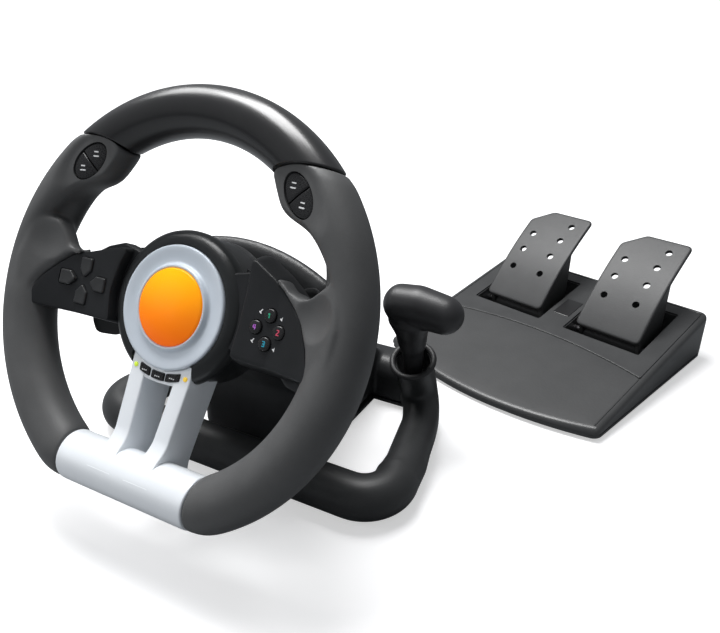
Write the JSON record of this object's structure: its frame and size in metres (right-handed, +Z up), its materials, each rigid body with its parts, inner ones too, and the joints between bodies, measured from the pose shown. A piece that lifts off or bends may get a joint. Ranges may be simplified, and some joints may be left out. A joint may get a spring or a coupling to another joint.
{
  "type": "racing wheel",
  "caption": "Flat-bottomed games racing wheel on a tilted base with grip loop and gear lever, with a separate two-pedal floor unit.",
  "frame": {"origin": "underside of the middle suction foot of the wheel's base", "axes": "+Z up, +X to the driver's right, +Y away from the driver"},
  "size_m": [0.3967, 0.4864, 0.2558],
  "materials": {
    "core_plastic": "black moulded plastic, hidden",
    "gloss_black": "polished black plastic",
    "grip_rubber": "fine-grained matt rubber",
    "key_black": "satin black key caps",
    "satin_silver": "satin silver paint on plastic",
    "light_lens": "clear tinted lenses",
    "bezel_black": "fine satin black plastic",
    "orange_gloss": "domed gloss orange",
    "shell_black": "spark-textured black plastic",
    "steel": "plain steel",
    "circuit_green": "circuit board",
    "panel_black": "satin black plastic",
    "membrane_grey": "soft silicone",
    "brass": "turned brass",
    "sensor_blue": "potentiometer cans",
    "foot_rubber": "soft black rubber",
    "lever_black": "satin black plastic",
    "pedal_grey": "textured dark grey plastic",
    "pedal_black": "textured dark grey plastic"
  },
  "bodies": {
    "base": {"base_bottom_plate": "shell_black", "base_housing": "shell_black", "centring_spring": "steel", "clamp_insert": "brass", "column_bushes": "brass", "column_sleeve": "core_plastic", "grip_loop": "grip_rubber", "housing_screws": "steel", "lead_gland": "foot_rubber", "main_circuit_board": "circuit_green", "pedal_axles": "steel", "pedal_base_sole": "pedal_grey", "pedal_base_top": "pedal_grey", "pedal_plaque": "gloss_black", "pedal_socket": "key_black", "pedal_springs": "steel", "position_sensors": "sensor_blue", "rubber_feet": "foot_rubber", "shift_pin": "steel", "shifter_ring": "foot_rubber"},
    "steering_wheel": {"rim_core": "core_plastic", "rim_top_cover": "gloss_black", "left_grip": "grip_rubber", "right_grip": "grip_rubber", "lower_frame": "satin_silver", "indicator_lights": "light_lens", "hub_bezel": "bezel_black", "trim_ring": "satin_silver", "centre_dome": "orange_gloss", "hub_back_cup": "shell_black", "paddle_pins": "steel", "hub_circuit_board": "circuit_green", "hub_screws": "steel", "left_panel": "panel_black", "right_panel": "panel_black", "button_boards": "circuit_green", "key_membranes": "membrane_grey", "spoke_back_covers": "shell_black", "steering_shaft": "steel"},
    "gear_lever": {"shift_lever": "lever_black", "shift_knob": "lever_black"},
    "left_paddle": {"left_paddle": "shell_black"},
    "right_paddle": {"right_paddle": "shell_black"},
    "left_pod_button_upper": {"left_pod_button_upper": "key_black"},
    "left_pod_button_lower": {"left_pod_button_lower": "key_black"},
    "right_pod_button_upper": {"right_pod_button_upper": "key_black"},
    "right_pod_button_lower": {"right_pod_button_lower": "key_black"},
    "menu_button_left": {"menu_button_left": "key_black"},
    "menu_button_middle": {"menu_button_middle": "key_black"},
    "menu_button_right": {"menu_button_right": "key_black"},
    "pad_left": {"pad_left": "key_black"},
    "pad_right": {"pad_right": "key_black"},
    "pad_up": {"pad_up": "key_black"},
    "pad_down": {"pad_down": "key_black"},
    "key_top": {"key_top": "key_black"},
    "key_left": {"key_left": "key_black"},
    "key_right": {"key_right": "key_black"},
    "key_bottom": {"key_bottom": "key_black"},
    "brake_pedal": {"brake_pedal": "pedal_black"},
    "accelerator_pedal": {"accelerator_pedal": "pedal_black"}
  },
  "joints": [
    {"name": "steering", "type": "hinge", "parent": "base", "child": "steering_wheel", "pos_m": [0, -0.165, 0.1415], "axis": [0, -0.887, 0.4617], "range_deg": [-90, 90], "stiffness_Nm_per_rad": 0.5},
    {"name": "left_paddle_pull", "type": "hinge", "parent": "steering_wheel", "child": "left_paddle", "pos_m": [-0.034, -0.13307, 0.12488], "axis": [0, 0.4617, 0.887], "range_deg": [0, 6], "stiffness_Nm_per_rad": 0.5, "springref_deg": -5.73},
    {"name": "right_paddle_pull", "type": "hinge", "parent": "steering_wheel", "child": "right_paddle", "pos_m": [0.034, -0.13307, 0.12488], "axis": [0, -0.4617, -0.887], "range_deg": [0, 6], "stiffness_Nm_per_rad": 0.5, "springref_deg": -5.73},
    {"name": "left_pod_button_upper_press", "type": "slide", "parent": "steering_wheel", "child": "left_pod_button_upper", "axis": [0, 0.887, -0.4617], "range_m": [0, 0.0008], "stiffness_N_per_m": 400, "springref_m": -0.001},
    {"name": "left_pod_button_lower_press", "type": "slide", "parent": "steering_wheel", "child": "left_pod_button_lower", "axis": [0, 0.887, -0.4617], "range_m": [0, 0.0008], "stiffness_N_per_m": 400, "springref_m": -0.001},
    {"name": "right_pod_button_upper_press", "type": "slide", "parent": "steering_wheel", "child": "right_pod_button_upper", "axis": [0, 0.887, -0.4617], "range_m": [0, 0.0008], "stiffness_N_per_m": 400, "springref_m": -0.001},
    {"name": "right_pod_button_lower_press", "type": "slide", "parent": "steering_wheel", "child": "right_pod_button_lower", "axis": [0, 0.887, -0.4617], "range_m": [0, 0.0008], "stiffness_N_per_m": 400, "springref_m": -0.001},
    {"name": "menu_button_left_press", "type": "slide", "parent": "steering_wheel", "child": "menu_button_left", "axis": [0, 0.887, -0.4617], "range_m": [0, 0.001], "stiffness_N_per_m": 400, "springref_m": -0.001},
    {"name": "menu_button_middle_press", "type": "slide", "parent": "steering_wheel", "child": "menu_button_middle", "axis": [0, 0.887, -0.4617], "range_m": [0, 0.001], "stiffness_N_per_m": 400, "springref_m": -0.001},
    {"name": "menu_button_right_press", "type": "slide", "parent": "steering_wheel", "child": "menu_button_right", "axis": [0, 0.887, -0.4617], "range_m": [0, 0.001], "stiffness_N_per_m": 400, "springref_m": -0.001},
    {"name": "pad_left_press", "type": "slide", "parent": "steering_wheel", "child": "pad_left", "axis": [0, 0.887, -0.4617], "range_m": [0, 0.001], "stiffness_N_per_m": 400, "springref_m": -0.001},
    {"name": "pad_right_press", "type": "slide", "parent": "steering_wheel", "child": "pad_right", "axis": [0, 0.887, -0.4617], "range_m": [0, 0.001], "stiffness_N_per_m": 400, "springref_m": -0.001},
    {"name": "pad_up_press", "type": "slide", "parent": "steering_wheel", "child": "pad_up", "axis": [0, 0.887, -0.4617], "range_m": [0, 0.001], "stiffness_N_per_m": 400, "springref_m": -0.001},
    {"name": "pad_down_press", "type": "slide", "parent": "steering_wheel", "child": "pad_down", "axis": [0, 0.887, -0.4617], "range_m": [0, 0.001], "stiffness_N_per_m": 400, "springref_m": -0.001},
    {"name": "key_top_press", "type": "slide", "parent": "steering_wheel", "child": "key_top", "axis": [0, 0.887, -0.4617], "range_m": [0, 0.001], "stiffness_N_per_m": 400, "springref_m": -0.001},
    {"name": "key_left_press", "type": "slide", "parent": "steering_wheel", "child": "key_left", "axis": [0, 0.887, -0.4617], "range_m": [0, 0.001], "stiffness_N_per_m": 400, "springref_m": -0.001},
    {"name": "key_right_press", "type": "slide", "parent": "steering_wheel", "child": "key_right", "axis": [0, 0.887, -0.4617], "range_m": [0, 0.001], "stiffness_N_per_m": 400, "springref_m": -0.001},
    {"name": "key_bottom_press", "type": "slide", "parent": "steering_wheel", "child": "key_bottom", "axis": [0, 0.887, -0.4617], "range_m": [0, 0.001], "stiffness_N_per_m": 400, "springref_m": -0.001},
    {"name": "gear_shift", "type": "hinge", "parent": "base", "child": "gear_lever", "pos_m": [0.08906, -0.01611, 0.03913], "axis": [1, 0, 0], "range_deg": [-6, 6], "stiffness_Nm_per_rad": 2},
    {"name": "brake_pedal_press", "type": "hinge", "parent": "base", "child": "brake_pedal", "pos_m": [0.10788, 0.18574, 0.018], "axis": [-0.9568, 0.2907, 0], "range_deg": [0, 14], "stiffness_Nm_per_rad": 3, "springref_deg": -11.46},
    {"name": "accelerator_pedal_press", "type": "hinge", "parent": "base", "child": "accelerator_pedal", "pos_m": [0.19878, 0.15812, 0.018], "axis": [-0.9568, 0.2907, 0], "range_deg": [0, 14], "stiffness_Nm_per_rad": 3, "springref_deg": -11.46}
  ]
}
